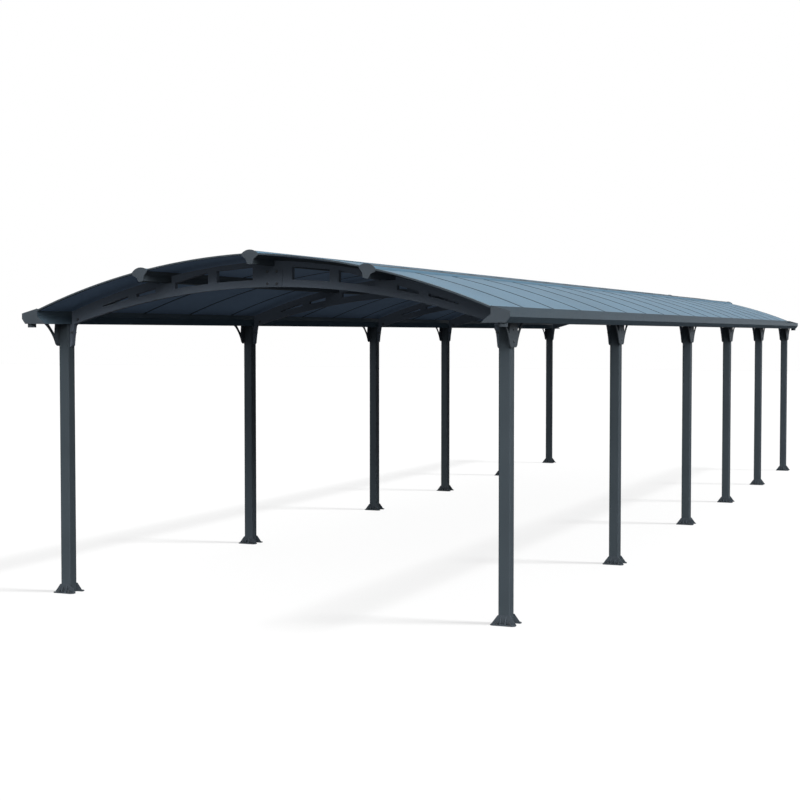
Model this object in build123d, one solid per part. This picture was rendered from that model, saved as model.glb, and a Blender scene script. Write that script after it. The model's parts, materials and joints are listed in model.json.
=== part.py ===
from build123d import *
import os
from math import asin, cos, degrees, sin, sqrt, tan

# Open carport: an arched panel roof on two rows of posts, tied by pierced arch trusses.

# X runs across, Y along the length and Z up. The origin is on the floor, in the middle of the plan.

# Roof panels, laid in a row along the length
panel_pitch = 710.0
panel_count = 18
panel_thickness = 6.0

# Roof arc: each half is an arc whose centre lies past the middle, so the ridge is slightly creased
roof_radius = 4860.0
roof_centre_offset = 182.0
roof_rise = 459.0

# Posts and their bays
row_spacing = 3312.0
long_bay = 2822.0
long_bay_count = 2
short_bay = 2149.0
short_bay_count = 3
post_width = 79.0
post_depth = 84.0
post_wall = 2.5
post_corner = 6.0
post_height = 1930.0

# Feet: a ribbed flange before and behind each post
foot_width = 167.0
foot_top_width = 84.0
foot_reach = 42.0
foot_height = 62.0
foot_base = 7.0
foot_wall = 5.0
foot_rib = 6.0
foot_rib_place = 17.0
foot_corner = 14.0
anchor_spacing = 86.0
anchor_inset = 23.0
anchor_radius = 5.5

# Arch trusses
truss_depth = 40.0
truss_lower_radius = 5172.0
truss_rise = 247.0
truss_chord = 50.0
truss_top_drop = 34.0
truss_head_gap = 2.0
splice_gap = 0.6
leg_width = 37.0
leg_toe_width = 17.0
leg_toe_round = 14.0
leg_toe_bevel = 0.3
leg_bulge = 2.0
leg_drop = 162.0

# Openings in each half truss, as distance from the middle and height over the lower chord
window_ridge_end = 148.0
window_inner_strut = 459.0
window_purlin_inner = 754.0
window_purlin_outer = 909.0
window_outer_strut = 1097.0
window_toe_end = 1340.0
strut_width = 66.0
height_at_ridge = 88.0
height_at_inner_strut = 79.0
height_before_purlin = 41.0
height_after_purlin = 31.0
height_at_outer_strut = 21.0
height_at_toe = 6.0

# Splice plates before the middle of each truss
splice_width = 152.0
splice_height = 110.0
splice_thickness = 4.0
splice_margin = 8.0
splice_top_gap = 4.0

# Purlins: a domed top that laps the panels, a web between them and a box below
purlin_offset = 840.0
dome_half_width = 50.0
dome_rise = 20.0
dome_wall = 3.0
dome_edge = 12.0
purlin_web = 18.0
purlin_wing = 40.0
purlin_wing_wall = 3.0
purlin_wing_edge = 10.0
purlin_taper_drop = 31.0
purlin_box_width = 34.0
purlin_depth = 70.0
purlin_wall = 2.5
pocket_width = 120.0

# Caps over the purlins' ends: a domed head on square shoulders that narrow to a neck and a toe
cap_thickness = 4.0
cap_margin = 4.0
cap_half_width = 58.0
cap_shoulder_drop = 16.0
cap_neck_half_width = 29.0
cap_neck_drop = 38.0
cap_toe_half_width = 18.0
cap_toe_drop = 71.0

# Gutters: the floor lies on the posts, the inner wall slants up to the panels' edge
eave_offset = 12.0
gutter_mouth = 122.0
gutter_floor_inset = 26.0
gutter_floor_reach = 66.0
gutter_outer_rise = 70.0
gutter_bulge_rise = 36.0
gutter_shoulder_rise = 54.0
gutter_rim = 7.5
gutter_lip = 8.0
gutter_wall = 3.0
gutter_corner = 7.5
outlet_radius = 29.0
outlet_wall = 3.0
outlet_length = 25.0
outlet_clearance = 1.0
outlet_inset = 36.0

# Panel joiners and end trims stand a little proud of the panels above and below
joiner_width = 22.0
joiner_proud = 1.9
trim_depth = 24.0
trim_proud = 2.1

# Braces under the gutters: a plate on each post's outer face, with an arm before and behind it
brace_reach = 165.0
brace_drop = 156.0
brace_thickness = 8.0
brace_body = 38.0
brace_shoulder = 34.0
brace_shoulder_rise = 17.0
brace_arm = 42.0
brace_bend = 62.0
brace_bend_rise = 64.0
brace_crotch = 46.0
brace_crotch_drop = 73.0

fit_gap = 0.3
seat_gap = 0.3

roof_length = panel_pitch * panel_count
ridge_height = post_height + roof_rise
roof_centre_height = ridge_height - sqrt(roof_radius**2 - roof_centre_offset**2)
truss_lower_crown = post_height + truss_rise
lower_centre_height = truss_lower_crown - truss_lower_radius
post_inner = row_spacing / 2 - post_width / 2
leg_bottom = post_height - leg_drop

gutter_inner = row_spacing / 2 + eave_offset
gutter_outer = gutter_inner + gutter_mouth
gutter_floor_outer = gutter_outer - gutter_floor_inset
gutter_floor_inner = gutter_inner - gutter_floor_reach
gutter_outer_top = post_height + gutter_outer_rise
gutter_bulge_height = post_height + gutter_bulge_rise
gutter_shoulder = post_height + gutter_shoulder_rise
outlet_centre = gutter_floor_outer - gutter_wall - outlet_clearance - outlet_radius + outlet_wall


def post_places():
    """Y of each post pair, from the front of the carport to the back."""
    steps = [long_bay] * long_bay_count + [short_bay] * short_bay_count
    places = [-sum(steps) / 2]
    for step in steps:
        places.append(places[-1] + step)
    return places


def at(x, z, y=0.0):
    return Vector(x, y, z)


def roof_angle(x):
    """Angle from the vertical at which the right half's roof arc passes x."""
    return asin((x + roof_centre_offset) / roof_radius)


def roof_point(angle, drop, y=0.0):
    """Point below the panels' top surface, on the right half's arc."""
    radius = roof_radius - drop
    return at(radius * sin(angle) - roof_centre_offset, roof_centre_height + radius * cos(angle), y)


def roof_angle_below(x, drop):
    return asin((x + roof_centre_offset) / (roof_radius - drop))


def eave_top():
    """Height of the gutter's inner rim, just over the panels' lower edge."""
    return roof_point(roof_angle(gutter_inner), 0).Z + gutter_rim


def lower_height(x, rise=0.0):
    """Height of the truss's lower arc, or of the arc that lies rise above it."""
    return lower_centre_height + sqrt((truss_lower_radius + rise) ** 2 - x**2)


def arc_between(start, end, point_of):
    """Three-point arc through a curve that point_of gives for a parameter."""
    return ThreePointArc(point_of(start), point_of((start + end) / 2), point_of(end))


def prism(edges, length):
    """Solid of a closed outline in the XZ plane, drawn out along +Y."""
    return extrude(make_face(edges), amount=length, dir=(0, 1, 0))


def mirrored(solid):
    return mirror(solid, about=Plane.YZ)


def sided(solid, side):
    return solid if side > 0 else mirrored(solid)


def roof_sector(inner_angle, outer_angle, top_drop, bottom_drop, start, length):
    """Curved sheet between two angles of the roof arc and two depths below its top."""
    edges = [
        arc_between(inner_angle, outer_angle, lambda angle: roof_point(angle, top_drop, start)),
        Line(roof_point(outer_angle, top_drop, start), roof_point(outer_angle, bottom_drop, start)),
        arc_between(inner_angle, outer_angle, lambda angle: roof_point(angle, bottom_drop, start)),
        Line(roof_point(inner_angle, top_drop, start), roof_point(inner_angle, bottom_drop, start)),
    ]
    return prism(edges, length)


def strip_angles():
    """Start and end angle of the inner and the outer strip of panels, on the right half."""
    web = purlin_web / 2 + fit_gap
    return {
        "inner": (roof_angle(web), roof_angle(purlin_offset) - web / roof_radius),
        "outer": (roof_angle(purlin_offset) + web / roof_radius, roof_angle(gutter_inner - fit_gap)),
    }


def panel_strip(side, strip):
    """One strip of curved panels, each between two joiners or a joiner and an end trim."""
    inner, outer = strip_angles()[strip]
    gap = joiner_width / 2 + fit_gap
    end_gap = trim_depth + fit_gap
    panels = []
    for index in range(panel_count):
        start = -roof_length / 2 + index * panel_pitch
        low = start + (gap if index else end_gap)
        high = start + panel_pitch - (gap if index < panel_count - 1 else end_gap)
        panels.append(sided(roof_sector(inner, outer, 0.0, panel_thickness, low, high - low), side))
    return Compound(panels)


def edge_bar(first, last, proud, start, width):
    """Curved bar along the panels' edges, proud of them above and below."""
    return roof_sector(first, last, -proud, panel_thickness + proud, start, width)


def joiner_strip(side, strip):
    """Bars between the panels of one strip, from the dome of one purlin to the next or to the gutter."""
    inner, outer = strip_angles()[strip]
    wing = (dome_half_width - purlin_web / 2 + seat_gap) / roof_radius
    first = inner + wing
    last = outer - wing
    if strip == "outer":
        last = roof_angle_below(gutter_inner - fit_gap, -joiner_proud)
    joiners = []
    for index in range(1, panel_count):
        start = -roof_length / 2 + index * panel_pitch - joiner_width / 2
        joiners.append(sided(edge_bar(first, last, joiner_proud, start, joiner_width), side))
    return Compound(joiners)


def end_trim(side, end):
    """Two bars that close the panels' edges at one end of the roof, split at the side purlin's cap."""
    trims = []
    for inner, outer in strip_angles().values():
        wing = (cap_half_width - purlin_web / 2 + seat_gap) / roof_radius
        first = inner + wing
        last = outer - wing
        if outer > roof_angle(purlin_offset):
            last = roof_angle_below(gutter_inner - fit_gap, -trim_proud)
        trim = sided(edge_bar(first, last, trim_proud, -roof_length / 2, trim_depth), side)
        trims.append(trim if end < 0 else mirror(trim, about=Plane.XZ))
    return trims


def purlin_outline(slope):
    """Section of a purlin about its own axis: u across it and n up from the panels' top."""
    shelf = -(panel_thickness + seat_gap + purlin_wing * tan(slope))
    web = purlin_web / 2
    box = purlin_box_width / 2
    points = [
        (dome_half_width, seat_gap),
        (web, seat_gap),
        (web, shelf),
        (purlin_wing, shelf),
        (purlin_wing, shelf - purlin_wing_wall),
        (box, -purlin_taper_drop),
        (box, -purlin_depth),
    ]
    outline = points + [(-u, n) for u, n in reversed(points)]
    edges = [Line(at(*first), at(*second)) for first, second in zip(outline, outline[1:])]
    edges.append(ThreePointArc(at(-dome_half_width, seat_gap), at(0, dome_rise), at(dome_half_width, seat_gap)))
    return edges


def purlin_hollows(slope):
    """Outlines of the chamber under the dome and of the box's inside."""
    inside = dome_half_width - dome_edge
    low = seat_gap + dome_wall
    high = dome_rise - dome_wall
    chamber = [
        Line(at(inside, low), at(-inside, low)),
        ThreePointArc(at(-inside, low), at(0, high), at(inside, low)),
    ]
    half = purlin_box_width / 2 - purlin_wall
    shelf = -(panel_thickness + seat_gap + purlin_wing * tan(slope)) - purlin_wing_wall
    right = [
        (purlin_wing - purlin_wing_edge, shelf - purlin_wall / 2),
        (half, -purlin_taper_drop),
        (half, -purlin_depth + purlin_wall),
    ]
    corners = right + [(-u, n) for u, n in reversed(right)]
    box = [Line(at(*a), at(*b)) for a, b in zip(corners, corners[1:] + corners[:1])]
    return chamber, box


def placed_on_roof(solid, x):
    """Move a piece from its own axis to the roof arc at x, tilted with the arc."""
    if x == 0:
        return Pos(0, 0, ridge_height) * solid
    side = 1 if x > 0 else -1
    angle = roof_angle(abs(x))
    place = roof_point(angle, 0)
    return Pos(side * place.X, 0, place.Z) * Rot(0, side * degrees(angle), 0) * solid


def purlin(x):
    """One purlin along the roof, short of the end caps at both ends."""
    slope = roof_angle(0) if x == 0 else 0.0
    length = roof_length
    body = prism(purlin_outline(slope), length)
    for hollow in purlin_hollows(slope):
        body -= prism(hollow, length)
    return placed_on_roof(Pos(0, -length / 2, 0) * body, x)


def purlin_cap(x, end):
    """Domed plate over the end of a purlin, with shoulders, a neck and a toe."""
    points = [
        (cap_half_width, seat_gap),
        (cap_half_width, -cap_shoulder_drop),
        (cap_neck_half_width, -cap_neck_drop),
        (cap_toe_half_width, -cap_toe_drop),
    ]
    outline = points + [(-u, n) for u, n in reversed(points)]
    edges = [Line(at(*first), at(*second)) for first, second in zip(outline, outline[1:])]
    top = at(0, dome_rise + cap_margin)
    edges.append(ThreePointArc(at(-cap_half_width, seat_gap), top, at(cap_half_width, seat_gap)))
    plate = prism(edges, cap_thickness)
    start = -roof_length / 2 - cap_thickness if end < 0 else roof_length / 2
    return placed_on_roof(Pos(0, start, 0) * plate, x)


def post():
    """Upright tube with bevelled corners."""
    outer = Rectangle(post_width, post_depth)
    outer = chamfer(outer.vertices(), post_corner)
    inner = Rectangle(post_width - 2 * post_wall, post_depth - 2 * post_wall)
    inner = chamfer(inner.vertices(), post_corner - post_wall * (2 - sqrt(2)))
    return extrude(outer - inner, amount=post_height)


def foot_flange(drilled):
    """Ribbed flange that stands before a post, with its wall on the post's front face."""
    base = Pos(0, -foot_reach / 2, foot_base / 2) * Box(foot_width, foot_reach, foot_base)
    outer_edges = base.edges().filter_by(Axis.Z).group_by(Axis.Y)[0]
    base = chamfer(outer_edges, foot_corner)
    base_half = foot_width / 2
    top_half = foot_top_width / 2
    wall_edges = [
        Line(at(-base_half, foot_base), at(base_half, foot_base)),
        Line(at(base_half, foot_base), at(top_half, foot_height)),
        Line(at(top_half, foot_height), at(-top_half, foot_height)),
        Line(at(-top_half, foot_height), at(-base_half, foot_base)),
    ]
    wall = Pos(0, -foot_wall, 0) * prism(wall_edges, foot_wall)
    rib_edges = [
        Line(Vector(0, -foot_wall, foot_base), Vector(0, -foot_reach + foot_rib, foot_base)),
        Line(Vector(0, -foot_reach + foot_rib, foot_base), Vector(0, -foot_wall, foot_height - foot_rib)),
        Line(Vector(0, -foot_wall, foot_height - foot_rib), Vector(0, -foot_wall, foot_base)),
    ]
    rib = extrude(make_face(rib_edges), amount=foot_rib / 2, dir=(1, 0, 0), both=True)
    flange = base + wall
    for place in (-foot_rib_place, foot_rib_place):
        flange += Pos(place, 0, 0) * rib
    if drilled:
        for place in (-anchor_spacing / 2, anchor_spacing / 2):
            flange -= Pos(place, -anchor_inset, 0) * Cylinder(anchor_radius, 4 * foot_base)
    return flange


def feet(side):
    """Front and back flanges of every post in one row.

    Only the end posts' flanges are drilled. Bolt heads hide the other anchor holes, which would more
    than double the feet's faces.
    """
    places = post_places()
    solids = []
    for y in places:
        flange = Pos(0, -post_depth / 2, 0) * foot_flange(y in (places[0], places[-1]))
        for piece in (flange, mirror(flange, about=Plane.XZ)):
            solids.append(Pos(side * row_spacing / 2, y, 0) * piece)
    return Compound(solids)


def truss_half():
    """Right half of an arch truss: chords, struts, purlin pockets and the leg beside the post."""
    seam = splice_gap / 2
    leg_inner = post_inner - leg_width
    toe_inner = post_inner - leg_toe_width
    head = gutter_floor_inner - truss_head_gap
    head_height = post_height - truss_head_gap
    top_at_head = roof_angle_below(head, truss_top_drop)
    top_at_seam = roof_angle_below(seam, truss_top_drop)
    leg_knee = leg_bottom + leg_toe_round
    outer = [
        arc_between(seam, leg_inner, lambda x: at(x, lower_height(x))),
        ThreePointArc(
            at(leg_inner, lower_height(leg_inner)),
            at((leg_inner + toe_inner) / 2 + leg_bulge, (lower_height(leg_inner) + leg_knee) / 2),
            at(toe_inner, leg_knee),
        ),
        ThreePointArc(
            at(toe_inner, leg_knee),
            at(toe_inner + leg_toe_width * leg_toe_bevel, leg_bottom + leg_toe_round * leg_toe_bevel),
            at(post_inner, leg_bottom),
        ),
        Line(at(post_inner, leg_bottom), at(post_inner, head_height)),
        Line(at(post_inner, head_height), at(head, head_height)),
        Line(at(head, head_height), roof_point(top_at_head, truss_top_drop)),
        arc_between(top_at_seam, top_at_head, lambda angle: roof_point(angle, truss_top_drop)),
        Line(roof_point(top_at_seam, truss_top_drop), at(seam, lower_height(seam))),
    ]
    plate = prism(outer, truss_depth)
    half_strut = strut_width / 2
    windows = [
        (window_ridge_end, window_inner_strut - half_strut, height_at_ridge, height_at_inner_strut),
        (window_inner_strut + half_strut, window_purlin_inner, height_at_inner_strut, height_before_purlin),
        (window_purlin_outer, window_outer_strut - half_strut, height_after_purlin, height_at_outer_strut),
        (window_outer_strut + half_strut, window_toe_end, height_at_outer_strut, height_at_toe),
    ]
    for start, end, start_height, end_height in windows:
        low_start = lower_height(start, truss_chord)
        low_end = lower_height(end, truss_chord)
        edges = [
            arc_between(start, end, lambda x: at(x, lower_height(x, truss_chord))),
            Line(at(end, low_end), at(end, low_end + end_height)),
            Line(at(end, low_end + end_height), at(start, low_start + start_height)),
            Line(at(start, low_start + start_height), at(start, low_start)),
        ]
        plate -= prism(edges, truss_depth)
    return Pos(0, -truss_depth / 2, 0) * plate


def ridge_pocket():
    """Block that cuts the ridge purlin's seat into a truss."""
    width = purlin_box_width + 2 * seat_gap
    height = purlin_depth + seat_gap
    return Pos(0, 0, ridge_height - height / 2) * Box(width, 2 * truss_depth, height)


def side_pocket():
    """Wide block with a level underside, which touches the lowest edge of the tilted side purlin."""
    angle = roof_angle(purlin_offset)
    floor = roof_point(angle, purlin_depth).Z - purlin_box_width / 2 * sin(angle) - seat_gap
    height = ridge_height - floor
    return Pos(purlin_offset, 0, floor + height / 2) * Box(pocket_width, 2 * truss_depth, height)


def arch(y):
    """Both halves of one arch truss."""
    right = truss_half() - side_pocket() - ridge_pocket()
    halves = [right, mirrored(right)]
    return Compound([Pos(0, y, 0) * half for half in halves])


def splice_plates():
    """Plates that join the halves of each truss, on its front face."""
    bottom = truss_lower_crown + splice_margin
    height = min(splice_height, ridge_height - purlin_depth - splice_top_gap - bottom)
    plates = []
    for y in post_places():
        plate = Box(splice_width, splice_thickness, height)
        plates.append(Pos(0, y - truss_depth / 2 - splice_thickness / 2, bottom + height / 2) * plate)
    return Compound(plates)


def gutter_section():
    """Section of the right gutter as a closed outline of constant wall."""
    outer = [
        (gutter_inner, eave_top()),
        (gutter_inner, gutter_shoulder),
        (gutter_floor_inner, post_height),
        (gutter_floor_outer, post_height),
        (gutter_outer, gutter_bulge_height),
        (gutter_outer, gutter_outer_top),
        (gutter_outer - gutter_lip, gutter_outer_top),
    ]
    wall = gutter_wall
    inner = [
        (gutter_outer - gutter_lip, gutter_outer_top - wall),
        (gutter_outer - wall, gutter_outer_top - wall),
        (gutter_outer - wall, gutter_bulge_height + wall / 2),
        (gutter_floor_outer - wall, post_height + wall),
        (gutter_floor_inner + gutter_corner, post_height + wall),
        (gutter_inner + wall, gutter_shoulder - wall / 2),
        (gutter_inner + wall, eave_top()),
    ]
    points = outer + inner
    return [Line(at(*a), at(*b)) for a, b in zip(points, points[1:] + points[:1])]


def gutter(side):
    """One gutter, with a hole through its floor over each outlet."""
    trough = Pos(0, -roof_length / 2, 0) * prism(gutter_section(), roof_length)
    for y in (-roof_length / 2 + outlet_inset, roof_length / 2 - outlet_inset):
        trough -= Pos(outlet_centre, y, post_height) * Cylinder(outlet_radius - outlet_wall, 4 * gutter_wall)
    return sided(trough, side)


def gutter_end(side, end):
    """End cap of a gutter, with a short round outlet under its floor."""
    points = [
        (gutter_inner - gutter_wall, eave_top() + gutter_wall),
        (gutter_inner - gutter_wall, gutter_shoulder),
        (gutter_floor_inner - gutter_wall, post_height),
        (gutter_floor_outer, post_height),
        (gutter_outer, gutter_bulge_height),
        (gutter_outer, gutter_outer_top + gutter_wall),
    ]
    edges = [Line(at(*a), at(*b)) for a, b in zip(points, points[1:] + points[:1])]
    plate = Pos(0, -roof_length / 2 - cap_thickness, 0) * prism(edges, cap_thickness)
    ring = Cylinder(outlet_radius, outlet_length) - Cylinder(outlet_radius - outlet_wall, outlet_length)
    outlet = Pos(outlet_centre, -roof_length / 2 + outlet_inset, post_height - outlet_length / 2) * ring
    pieces = [sided(plate, side), sided(outlet, side)]
    if end > 0:
        pieces = [mirror(piece, about=Plane.XZ) for piece in pieces]
    return pieces


def brace_edges(way):
    """Outline of one half of a brace, in the YZ plane: way is 1 behind the post's axis and -1 before it."""
    low = post_height - brace_drop

    def spot(beyond, rise):
        return Vector(0, way * (post_depth / 2 + beyond), low + rise)

    toe = spot(0, 0)
    shoulder = spot(brace_shoulder, brace_shoulder_rise)
    crotch = spot(brace_crotch, brace_drop - brace_crotch_drop)
    body = spot(brace_body, brace_drop)
    arm_inner = spot(brace_reach - brace_arm, brace_drop)
    tip = spot(brace_reach, brace_drop)
    return [
        Line(Vector(0, 0, low), toe),
        ThreePointArc(toe, spot(brace_shoulder * 0.65, brace_shoulder_rise * 0.35), shoulder),
        ThreePointArc(shoulder, spot(brace_bend, brace_bend_rise), tip),
        Line(tip, arm_inner),
        Line(arm_inner, crotch),
        Line(crotch, body),
        Line(body, Vector(0, 0, post_height)),
    ]


def brace():
    """Plate with two curved arms that reach up to the gutter's floor."""
    face = make_face(brace_edges(1) + brace_edges(-1))
    return Pos(post_width / 2, 0, 0) * extrude(face, amount=brace_thickness, dir=(1, 0, 0))


def braces(side):
    plate = Pos(row_spacing / 2, 0, 0) * brace()
    return Compound([sided(Pos(0, y, 0) * plate, side) for y in post_places()])


def save(name, shape):
    shape.label = name
    export_step(shape, f"parts/{name}.step")


def main():
    os.makedirs("parts", exist_ok=True)
    sides = {"left": -1, "right": 1}
    upright = post()
    for name, side in sides.items():
        for index, y in enumerate(post_places(), start=1):
            save(f"post_{name}_{index}", Pos(side * row_spacing / 2, y, 0) * upright)
        save(f"feet_{name}", feet(side))
        save(f"braces_{name}", braces(side))
        save(f"gutter_{name}", gutter(side))
        for strip in strip_angles():
            save(f"roof_panels_{name}_{strip}", panel_strip(side, strip))
            save(f"panel_joiners_{name}_{strip}", joiner_strip(side, strip))
    for index, y in enumerate(post_places(), start=1):
        save(f"arch_{index}", arch(y))
    save("arch_splice_plates", splice_plates())
    save("ridge_purlin", purlin(0))
    save("purlin_left", purlin(-purlin_offset))
    save("purlin_right", purlin(purlin_offset))
    caps = [purlin_cap(x, end) for x in (-purlin_offset, 0, purlin_offset) for end in (-1, 1)]
    save("purlin_end_caps", Compound(caps))
    ends = [piece for side in sides.values() for end in (-1, 1) for piece in gutter_end(side, end)]
    save("gutter_end_caps", Compound(ends))
    for name, end in (("front", -1), ("back", 1)):
        save(f"roof_trim_{name}", Compound([trim for side in sides.values() for trim in end_trim(side, end)]))


main()
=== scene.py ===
import json
import math

import bpy
import bmesh
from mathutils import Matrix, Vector


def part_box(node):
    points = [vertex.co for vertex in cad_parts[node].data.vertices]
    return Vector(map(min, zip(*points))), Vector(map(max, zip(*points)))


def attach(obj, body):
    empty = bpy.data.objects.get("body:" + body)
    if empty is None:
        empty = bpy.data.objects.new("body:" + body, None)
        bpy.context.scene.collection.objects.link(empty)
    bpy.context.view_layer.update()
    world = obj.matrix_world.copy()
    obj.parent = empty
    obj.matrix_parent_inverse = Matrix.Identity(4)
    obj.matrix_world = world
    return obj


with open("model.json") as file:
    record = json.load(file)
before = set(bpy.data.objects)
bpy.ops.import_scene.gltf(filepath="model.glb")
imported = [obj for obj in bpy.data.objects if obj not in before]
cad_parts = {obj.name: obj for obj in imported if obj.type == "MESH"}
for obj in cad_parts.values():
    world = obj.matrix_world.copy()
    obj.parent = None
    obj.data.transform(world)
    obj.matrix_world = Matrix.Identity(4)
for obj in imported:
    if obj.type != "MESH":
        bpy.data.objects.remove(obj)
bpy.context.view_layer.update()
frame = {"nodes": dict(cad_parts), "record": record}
nodes = frame["nodes"]

# Camera of the photograph, in the carport's own frame: metres and degrees, and millimetres for the lens
CAMERA_PLACE = (4.737, -15.4584, 1.8636)
CAMERA_YAW = 22.114
CAMERA_PITCH = -2.268
CAMERA_LENS = 69.755
CAMERA_SENSOR = 36.0
CAMERA_SHIFT = (0.0018, -0.0065)
CAMERA_REACH = 200.0

WHITE = (1.0, 1.0, 1.0)
FRAME_COLOUR = (0.058, 0.073, 0.085)
# The arches' colour is the frame's powder coat painted lighter and bluer: painted light for the bluish light
# that comes through the roof sheets
ARCH_PAINTED_LIGHT_COLOUR = (0.118, 0.143, 0.176)
GUTTER_COLOUR = (0.052, 0.078, 0.100)
MOULD_COLOUR = (0.062, 0.075, 0.088)
PANEL_COLOUR = (0.073, 0.145, 0.208)
# Underside of the sheets: painted light, a paler and bluer colour that stands in for the light coming
# through the sheet
PANEL_UNDER_PAINTED_LIGHT = (0.225, 0.330, 0.470)
JOINER_COLOUR = (0.016, 0.027, 0.038)
BOLT_COLOUR = (0.060, 0.068, 0.076)

# Roof sheets. Roughness and specular are for the underside and the top, and the look turns from one to
# the other where the face's normal rises from minus to plus PANEL_TURN
FLUTE_PITCH = 0.011
PANEL_SHADOW_PASS = 0.4
PANEL_ROUGHNESS = (0.6, 0.5)
PANEL_SPECULAR = (0.03, 0.09)
PANEL_TURN = 0.4

# Roof's outer curve, one arc to a side, and the crests of the purlins on it
ROOF_RADIUS = 4.860
ROOF_CENTRE_OFFSET = 0.182
ROOF_CENTRE_HEIGHT = -2.4676
PURLIN_CREST = 0.844
CREST_HALF_WIDTH = 0.024

# Floor: white with soft shadows for the camera, dull for the light that it throws back
FLOOR_HALF = 60.0
FLOOR_COLOUR = (0.075, 0.075, 0.075)
FLOOR_BOUNCE = (0.0155, 0.0160, 0.0175)
FLOOR_GLOW = 0.673
FLOOR_ROUGHNESS = 0.9
FLOOR_SPECULAR = 0.1

# Sky: strongest from the front right, weakest from the sides between front and back, dim at the horizon.
# Each table lists places and strengths: from the horizon up, and from the back left to the front right
SKY_POWER = 7.0
SKY_BY_HEIGHT = ((0.0, 0.06), (0.24, 0.08), (0.36, 1.0), (0.7, 0.8), (1.0, 0.25))
SKY_BY_FRONT = ((0.0, 0.45), (0.3, 0.27), (0.5, 0.125), (0.75, 0.43), (1.0, 1.0))
SKY_WAY = (0.33, -0.37)
SKY_MIDDLE = 0.5

# Suns, from the right: a weak one on everything and one on the floor alone, which only these pieces shade
SUN_POWER = 0.4
FLOOR_SUN_POWER = 11.2
SUN_SPREAD = 12.0
SUN_WAY = (-1.1, -0.25, -1.75)
FLOOR_SUN_BLOCKERS = ("post_", "feet_", "gutter_", "braces_")

# Places of the fastenings
POST_COUNT = 6
ANCHOR_SPACING = 0.086
ANCHOR_INSET = 0.023
FOOT_BASE = 0.007
SPLICE_BOLT_SPACING = 0.070
SPLICE_BOLT_MARGIN = 0.014
LEG_BOLT = (1.598, 1.870)
HEAD_BOLT = (1.549, 1.964)
BRACE_BOLT_DROPS = (0.040, 0.118)

# Sizes of the fastenings. A button head's profile lists shares of its radius, out and up
ANCHOR_FLATS = 0.017
ANCHOR_STUD = 0.006
ARCH_BOLT_FLATS = 0.013
BUTTON_RADIUS = 0.009
BUTTON_PROFILE = ((1.0, 0.0), (1.0, 0.12), (0.86, 0.38), (0.55, 0.55), (0.2, 0.6))
WASHER_THICKNESS = 0.0018
STUD_BEVEL = 0.001
HEAD_SIDES = 6
STUD_SIDES = 12
BUTTON_SIDES = 16
WASHER_SIDES = 20

# Sockets of Blender's Mix node, which has the same names again for each kind of data
MIX_FACTOR = 0
MIX_VALUES = (2, 3)
MIX_VALUE_RESULT = 0
MIX_COLOURS = (6, 7)
MIX_COLOUR_RESULT = 2


def shader(name, colour, roughness, specular=0.5, metallic=0.0):
    """New material with one principled shader.

    Returns the material, its node tree, the shader and the object coordinates.
    """
    material = bpy.data.materials.new(name)
    material.use_nodes = True
    tree = material.node_tree
    principled = tree.nodes["Principled BSDF"]
    principled.inputs["Base Color"].default_value = (*colour, 1.0)
    principled.inputs["Roughness"].default_value = roughness
    principled.inputs["Specular IOR Level"].default_value = specular
    principled.inputs["Metallic"].default_value = metallic
    coordinates = tree.nodes.new("ShaderNodeTexCoord")
    return material, tree, principled, coordinates.outputs["Object"]


def noise(tree, where, scale, detail=2.0):
    node = tree.nodes.new("ShaderNodeTexNoise")
    node.inputs["Scale"].default_value = scale
    node.inputs["Detail"].default_value = detail
    tree.links.new(where, node.inputs["Vector"])
    return node.outputs["Fac"]


def ramp(tree, factor, stops):
    """Colour ramp with the given (position, colour) stops."""
    node = tree.nodes.new("ShaderNodeValToRGB")
    elements = node.color_ramp.elements
    elements[0].position, elements[0].color = stops[0][0], (*stops[0][1], 1.0)
    elements[1].position, elements[1].color = stops[-1][0], (*stops[-1][1], 1.0)
    for position, colour in stops[1:-1]:
        element = elements.new(position)
        element.color = (*colour, 1.0)
    tree.links.new(factor, node.inputs["Fac"])
    return node.outputs["Color"]


def grey_ramp(tree, factor, stops):
    return ramp(tree, factor, [(position, (value, value, value)) for position, value in stops])


def spread(tree, factor, low, high):
    """Map a 0 to 1 factor onto a range."""
    node = tree.nodes.new("ShaderNodeMapRange")
    node.inputs["To Min"].default_value = low
    node.inputs["To Max"].default_value = high
    tree.links.new(factor, node.inputs["Value"])
    return node.outputs["Result"]


def math_node(tree, operation, *values):
    """Math node whose inputs are links or plain numbers."""
    node = tree.nodes.new("ShaderNodeMath")
    node.operation = operation
    for socket, value in zip(node.inputs, values):
        if isinstance(value, (int, float)):
            socket.default_value = value
        else:
            tree.links.new(value, socket)
    return node.outputs["Value"]


def square(tree, value):
    return math_node(tree, "POWER", value, 2.0)


def split(tree, vector):
    """X, Y and Z of a vector, by name."""
    node = tree.nodes.new("ShaderNodeSeparateXYZ")
    tree.links.new(vector, node.inputs["Vector"])
    return node.outputs


def colour_mix(tree, factor, first, second):
    """Mix of two colours, each a link or a plain colour."""
    node = tree.nodes.new("ShaderNodeMix")
    node.data_type = "RGBA"
    tree.links.new(factor, node.inputs[MIX_FACTOR])
    for index, colour in zip(MIX_COLOURS, (first, second)):
        socket = node.inputs[index]
        if isinstance(colour, tuple):
            socket.default_value = (*colour, 1.0)
        else:
            tree.links.new(colour, socket)
    return node.outputs[MIX_COLOUR_RESULT]


def bump(tree, principled, height, strength, distance):
    node = tree.nodes.new("ShaderNodeBump")
    node.inputs["Strength"].default_value = strength
    node.inputs["Distance"].default_value = distance
    tree.links.new(height, node.inputs["Height"])
    tree.links.new(node.outputs["Normal"], principled.inputs["Normal"])


def surface(tree, shown):
    """Make a shader's output the material's surface."""
    tree.links.new(shown, tree.nodes["Material Output"].inputs["Surface"])


def tinted(colour, factor):
    return tuple(channel * factor for channel in colour)


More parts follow.
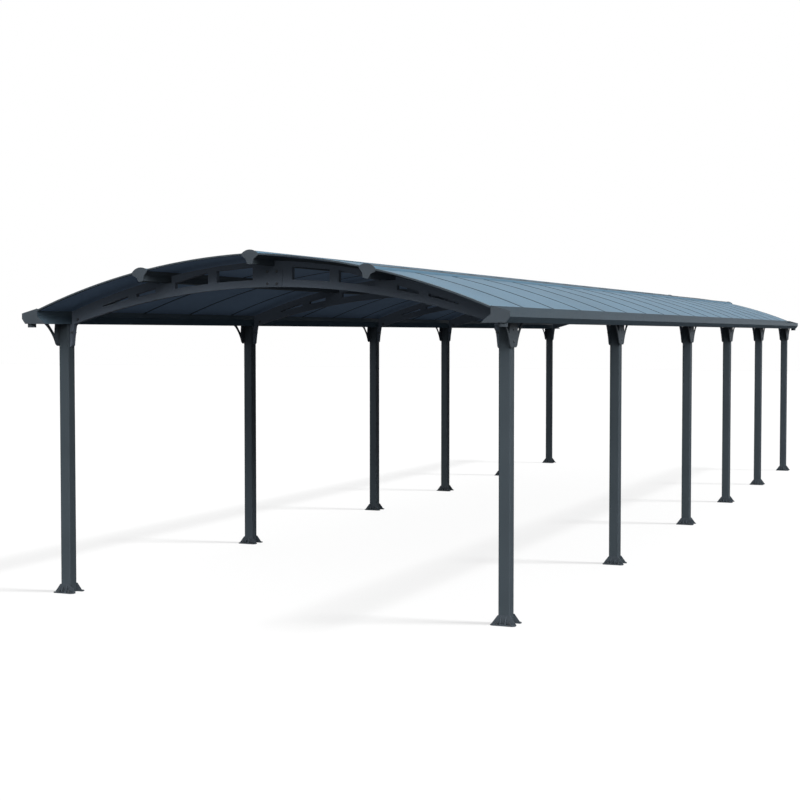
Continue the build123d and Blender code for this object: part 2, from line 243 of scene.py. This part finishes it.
def clouded(tree, where, colour, scale, change):
    """The colour with faint large clouds in it."""
    clouds = noise(tree, where, scale, detail=3.0)
    return ramp(tree, clouds, [(0.3, tinted(colour, 1 - change)), (0.7, tinted(colour, 1 + change))])


def powder_coat(name, colour, roughness, specular=0.02):
    """Satin powder coat: faint clouding, a fine orange peel and slightly uneven gloss."""
    material, tree, principled, where = shader(name, colour, roughness, specular)
    tree.links.new(clouded(tree, where, colour, scale=2.3, change=0.06), principled.inputs["Base Color"])
    gloss = spread(tree, noise(tree, where, scale=40.0), roughness - 0.05, roughness + 0.06)
    tree.links.new(gloss, principled.inputs["Roughness"])
    bump(tree, principled, noise(tree, where, scale=900.0), strength=0.18, distance=0.0006)
    return material


def purlin_coat(name):
    """The frame's coat on the purlins. Where they lap the sheets, only the crest keeps it."""
    material = powder_coat(name, FRAME_COLOUR, 0.5)
    tree = material.node_tree
    socket = tree.nodes["Principled BSDF"].inputs["Base Color"]
    coat = socket.links[0].from_socket
    axes = split(tree, tree.nodes.new("ShaderNodeTexCoord").outputs["Object"])
    side = math_node(tree, "ABSOLUTE", axes["X"])
    across = math_node(tree, "ADD", side, ROOF_CENTRE_OFFSET)
    upright = math_node(tree, "SUBTRACT", axes["Z"], ROOF_CENTRE_HEIGHT)
    radius = math_node(tree, "SQRT", math_node(tree, "ADD", square(tree, across), square(tree, upright)))
    above = math_node(tree, "GREATER_THAN", radius, ROOF_RADIUS)
    from_outer = math_node(tree, "ABSOLUTE", math_node(tree, "SUBTRACT", side, PURLIN_CREST))
    from_crest = math_node(tree, "MINIMUM", side, from_outer)
    lap = math_node(tree, "GREATER_THAN", from_crest, CREST_HALF_WIDTH)
    painted = math_node(tree, "MULTIPLY", above, lap)
    tree.links.new(colour_mix(tree, painted, coat, PANEL_COLOUR), socket)
    return material


def moulded_plastic(name, colour, roughness):
    """Moulded plastic with a fine spark-eroded grain."""
    material, tree, principled, where = shader(name, colour, roughness, specular=0.03)
    tree.links.new(clouded(tree, where, colour, scale=6.0, change=0.09), principled.inputs["Base Color"])
    bump(tree, principled, noise(tree, where, scale=600.0, detail=3.0), strength=0.25, distance=0.0008)
    return material


def twin_wall(name):
    """Smoke-blue twin-wall sheet with fine flutes across the roof, a little glossier above than below.

    The underside's colour is painted paler and bluer than the top: painted light for the light that comes
    through the sheet, since little light reaches the underside.
    The sheet lets part of the light through, so its shadow is paler than the frame's.
    """
    material, tree, principled, where = shader(name, PANEL_COLOUR, PANEL_ROUGHNESS[1], PANEL_SPECULAR[1])
    normal = tree.nodes.new("ShaderNodeNewGeometry").outputs["True Normal"]
    facing = tree.nodes.new("ShaderNodeMapRange")
    facing.inputs["From Min"].default_value = -PANEL_TURN
    facing.inputs["From Max"].default_value = PANEL_TURN
    tree.links.new(split(tree, normal)["Z"], facing.inputs["Value"])
    upward = facing.outputs["Result"]
    above = clouded(tree, where, PANEL_COLOUR, scale=1.3, change=0.07)
    # The underside's colour is painted light: paler and bluer than the top, for the light through the sheet
    below = clouded(tree, where, PANEL_UNDER_PAINTED_LIGHT, scale=1.3, change=0.07)
    tree.links.new(colour_mix(tree, upward, below, above), principled.inputs["Base Color"])
    tree.links.new(spread(tree, upward, *PANEL_ROUGHNESS), principled.inputs["Roughness"])
    tree.links.new(spread(tree, upward, *PANEL_SPECULAR), principled.inputs["Specular IOR Level"])
    turn = math_node(tree, "MULTIPLY", split(tree, where)["Y"], 2 * math.pi / FLUTE_PITCH)
    bump(tree, principled, math_node(tree, "SINE", turn), strength=0.25, distance=0.0006)
    shadow_ray = tree.nodes.new("ShaderNodeLightPath").outputs["Is Shadow Ray"]
    both = tree.nodes.new("ShaderNodeMixShader")
    tree.links.new(math_node(tree, "MULTIPLY", shadow_ray, PANEL_SHADOW_PASS), both.inputs["Fac"])
    tree.links.new(principled.outputs["BSDF"], both.inputs[1])
    tree.links.new(tree.nodes.new("ShaderNodeBsdfTransparent").outputs["BSDF"], both.inputs[2])
    surface(tree, both.outputs["Shader"])
    return material


def blackened_steel(name):
    """Dark plated bolts."""
    material, tree, principled, where = shader(name, BOLT_COLOUR, 0.4, specular=0.2, metallic=0.3)
    tree.links.new(spread(tree, noise(tree, where, scale=300.0), 0.35, 0.55), principled.inputs["Roughness"])
    return material


def paint_nodes():
    """Give every CAD node its slot's material, or on some pieces of the frame a tint of their own. The
    arches get the frame's coat painted lighter and bluer, as painted light for the light that comes through
    the sheets.
    """
    by_slot = {
        "frame_metal": powder_coat("powder_coat", FRAME_COLOUR, 0.5),
        "moulded_fittings": moulded_plastic("moulding", MOULD_COLOUR, 0.55),
        "roof_panel": twin_wall("twin_wall_sheet"),
        "joiner": moulded_plastic("joiner_profile", JOINER_COLOUR, 0.45),
    }
    purlins = purlin_coat("powder_coat_purlins")
    by_name = {
        # Arches: painted light, the frame's coat made lighter and bluer for the light through the sheets
        "arch_": powder_coat("powder_coat_arches_painted_light", ARCH_PAINTED_LIGHT_COLOUR, 0.5),
        "gutter_": powder_coat("powder_coat_gutters", GUTTER_COLOUR, 0.45, specular=0.08),
        "purlin_": purlins,
        "ridge_purlin": purlins,
    }
    slots = {entry["node"]: entry["material_slot"] for entry in frame["record"]["subparts"]}
    for name, obj in nodes.items():
        material = by_slot[slots[name]]
        for start, other in by_name.items():
            if name.startswith(start) and slots[name] == "frame_metal":
                material = other
        obj.data.materials.clear()
        obj.data.materials.append(material)


def turned(builder, place, axis, profile, sides):
    """Turned solid about an axis through a place; the profile lists (radius, height) pairs."""
    axis = Vector(axis).normalized()
    across = axis.orthogonal().normalized()
    along = axis.cross(across)
    rings = []
    for radius, height in profile:
        ring = []
        for step in range(sides):
            turn = 2 * math.pi * step / sides
            spoke = across * math.cos(turn) + along * math.sin(turn)
            ring.append(builder.verts.new(Vector(place) + axis * height + spoke * radius))
        rings.append(ring)
    for low, high in zip(rings, rings[1:]):
        for step in range(sides):
            after = (step + 1) % sides
            builder.faces.new((low[step], low[after], high[after], high[step]))
    builder.faces.new(list(reversed(rings[0])))
    builder.faces.new(rings[-1])


def hex_bolt(builder, place, axis, across_flats, stud=0.0):
    """Washer, six-sided head with a bevelled crown and, on an anchor, the threaded end."""
    radius = across_flats / math.sqrt(3)
    rim = radius * 1.3
    rim_bevel = radius * 1.22
    washer = [(rim, 0.0), (rim, WASHER_THICKNESS * 0.7), (rim_bevel, WASHER_THICKNESS)]
    turned(builder, place, axis, washer, WASHER_SIDES)
    head = across_flats * 0.55
    top = WASHER_THICKNESS + head
    crown = [(radius, WASHER_THICKNESS), (radius, WASHER_THICKNESS + head * 0.8), (radius * 0.82, top)]
    turned(builder, place, axis, crown, HEAD_SIDES)
    if stud:
        shank = radius * 0.5
        end = top + stud
        thread = [(shank, WASHER_THICKNESS), (shank, end - STUD_BEVEL), (radius * 0.42, end)]
        turned(builder, place, axis, thread, STUD_SIDES)


def button_head(builder, place, axis, radius):
    """Low domed screw head."""
    profile = [(radius * out, radius * up) for out, up in BUTTON_PROFILE]
    turned(builder, place, axis, profile, BUTTON_SIDES)


def mesh_object(name, builder, material):
    """Object in the scene, made from a finished mesh."""
    mesh = bpy.data.meshes.new(name)
    builder.to_mesh(mesh)
    builder.free()
    mesh.materials.append(material)
    obj = bpy.data.objects.new(name, mesh)
    bpy.context.scene.collection.objects.link(obj)
    return obj


def piece(name, builder, material):
    """Piece made from a finished mesh, riding on the carport's one body."""
    obj = mesh_object(name, builder, material)
    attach(obj, "root")


def post_boxes():
    """Side and lowest and highest corner of every post."""
    for side, sign in (("left", -1), ("right", 1)):
        for index in range(1, POST_COUNT + 1):
            low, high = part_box(f"post_{side}_{index}")
            yield sign, low, high


def add_anchor_bolts(material):
    builder = bmesh.new()
    for _, low, high in post_boxes():
        middle = (low.x + high.x) / 2
        for x in (middle - ANCHOR_SPACING / 2, middle + ANCHOR_SPACING / 2):
            for y in (low.y - ANCHOR_INSET, high.y + ANCHOR_INSET):
                hex_bolt(builder, (x, y, FOOT_BASE), (0, 0, 1), ANCHOR_FLATS, ANCHOR_STUD)
    piece("anchor_bolts", builder, material)


def add_brace_bolts(material):
    builder = bmesh.new()
    face = max(abs(corner.x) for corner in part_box("braces_right"))
    for sign, low, high in post_boxes():
        for drop in BRACE_BOLT_DROPS:
            place = (sign * face, (low.y + high.y) / 2, high.z - drop)
            button_head(builder, place, (sign, 0, 0), BUTTON_RADIUS)
    piece("brace_bolts", builder, material)


def add_arch_bolts(material):
    """Bolts through the legs and heads of every arch, on both faces."""
    builder = bmesh.new()
    for index in range(1, POST_COUNT + 1):
        low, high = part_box(f"arch_{index}")
        for x, z in (LEG_BOLT, HEAD_BOLT):
            for sign in (-1, 1):
                hex_bolt(builder, (sign * x, low.y, z), (0, -1, 0), ARCH_BOLT_FLATS)
                hex_bolt(builder, (sign * x, high.y, z), (0, 1, 0), ARCH_BOLT_FLATS)
    piece("arch_bolts", builder, material)


def add_splice_bolts(material):
    """Bolts on the front of every splice plate."""
    builder = bmesh.new()
    plate_low, plate_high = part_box("arch_splice_plates")
    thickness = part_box("arch_1")[0].y - plate_low.y
    for index in range(1, POST_COUNT + 1):
        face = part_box(f"arch_{index}")[0].y - thickness
        for x in (-SPLICE_BOLT_SPACING / 2, SPLICE_BOLT_SPACING / 2):
            for z in (plate_low.z + SPLICE_BOLT_MARGIN, plate_high.z - SPLICE_BOLT_MARGIN):
                hex_bolt(builder, (x, face, z), (0, -1, 0), ARCH_BOLT_FLATS)
    piece("splice_bolts", builder, material)


def floor_paint():
    """Paint that the camera sees near white with soft shadows, and that is dull to other rays."""
    material, tree, principled, _ = shader("pale_floor", FLOOR_COLOUR, FLOOR_ROUGHNESS, FLOOR_SPECULAR)
    path = tree.nodes.new("ShaderNodeLightPath")
    seen = math_node(tree, "MAXIMUM", path.outputs["Is Camera Ray"], path.outputs["Is Transmission Ray"])
    tree.links.new(colour_mix(tree, seen, FLOOR_BOUNCE, FLOOR_COLOUR), principled.inputs["Base Color"])
    glow = tree.nodes.new("ShaderNodeEmission")
    glow.inputs["Color"].default_value = (*WHITE, 1.0)
    tree.links.new(math_node(tree, "MULTIPLY", seen, FLOOR_GLOW), glow.inputs["Strength"])
    both = tree.nodes.new("ShaderNodeAddShader")
    tree.links.new(principled.outputs["BSDF"], both.inputs[0])
    tree.links.new(glow.outputs["Emission"], both.inputs[1])
    surface(tree, both.outputs["Shader"])
    return material


def add_floor():
    builder = bmesh.new()
    corners = ((-1, -1), (1, -1), (1, 1), (-1, 1))
    builder.faces.new([builder.verts.new((FLOOR_HALF * x, FLOOR_HALF * y, 0.0)) for x, y in corners])
    floor = mesh_object("floor", builder, floor_paint())
    return floor


def add_camera():
    data = bpy.data.cameras.new("camera")
    data.lens = CAMERA_LENS
    data.sensor_width = CAMERA_SENSOR
    data.shift_x, data.shift_y = CAMERA_SHIFT
    data.clip_end = CAMERA_REACH
    camera = bpy.data.objects.new("camera", data)
    camera.location = CAMERA_PLACE
    camera.rotation_euler = (math.radians(90 + CAMERA_PITCH), 0.0, math.radians(CAMERA_YAW))
    bpy.context.scene.collection.objects.link(camera)
    bpy.context.scene.camera = camera


def sky_light(tree):
    """Strength of the studio sky by the way a ray goes."""
    axes = split(tree, tree.nodes.new("ShaderNodeTexCoord").outputs["Generated"])
    frontness = math_node(tree, "MULTIPLY_ADD", axes["X"], SKY_WAY[0], SKY_MIDDLE)
    frontness = math_node(tree, "MULTIPLY_ADD", axes["Y"], SKY_WAY[1], frontness)
    by_height = grey_ramp(tree, axes["Z"], SKY_BY_HEIGHT)
    by_front = grey_ramp(tree, frontness, SKY_BY_FRONT)
    return math_node(tree, "MULTIPLY", math_node(tree, "MULTIPLY", by_height, by_front), SKY_POWER)


def add_world():
    """White for the camera, in reflections and through the panels; as a light, a soft studio sky."""
    world = bpy.data.worlds.new("studio")
    bpy.context.scene.world = world
    world.use_nodes = True
    tree = world.node_tree
    background = tree.nodes["Background"]
    background.inputs["Color"].default_value = (*WHITE, 1.0)
    path = tree.nodes.new("ShaderNodeLightPath")
    seen = math_node(tree, "MAXIMUM", path.outputs["Is Camera Ray"], path.outputs["Is Glossy Ray"])
    seen = math_node(tree, "MAXIMUM", seen, path.outputs["Is Transmission Ray"])
    mixed = tree.nodes.new("ShaderNodeMix")
    tree.links.new(seen, mixed.inputs[MIX_FACTOR])
    tree.links.new(sky_light(tree), mixed.inputs[MIX_VALUES[0]])
    mixed.inputs[MIX_VALUES[1]].default_value = 1.0
    tree.links.new(mixed.outputs[MIX_VALUE_RESULT], background.inputs["Strength"])


def add_sun(name, power):
    sun = bpy.data.lights.new(name, "SUN")
    sun.energy = power
    sun.angle = math.radians(SUN_SPREAD)
    lamp = bpy.data.objects.new(name, sun)
    lamp.rotation_euler = Vector(SUN_WAY).to_track_quat("-Z", "Y").to_euler()
    bpy.context.scene.collection.objects.link(lamp)
    return lamp


def group(name, objects):
    """Collection outside the scene, for light linking."""
    collection = bpy.data.collections.new(name)
    for obj in objects:
        collection.objects.link(obj)
    return collection


def add_suns(floor):
    """A weak sun on everything, and one on the floor alone for the frame's soft shadows."""
    add_sun("sun", SUN_POWER)
    floor_sun = add_sun("floor_sun", FLOOR_SUN_POWER)
    shading = [obj for name, obj in nodes.items() if name.startswith(FLOOR_SUN_BLOCKERS)]
    floor_sun.light_linking.receiver_collection = group("floor_only", [floor])
    floor_sun.light_linking.blocker_collection = group("floor_sun_blockers", shading)


def main():
    bpy.context.scene.view_settings.view_transform = "Standard"
    paint_nodes()
    steel = blackened_steel("blackened_steel")
    add_anchor_bolts(steel)
    add_brace_bolts(steel)
    add_arch_bolts(steel)
    add_splice_bolts(steel)
    floor = add_floor()
    add_camera()
    add_world()
    add_suns(floor)


main()
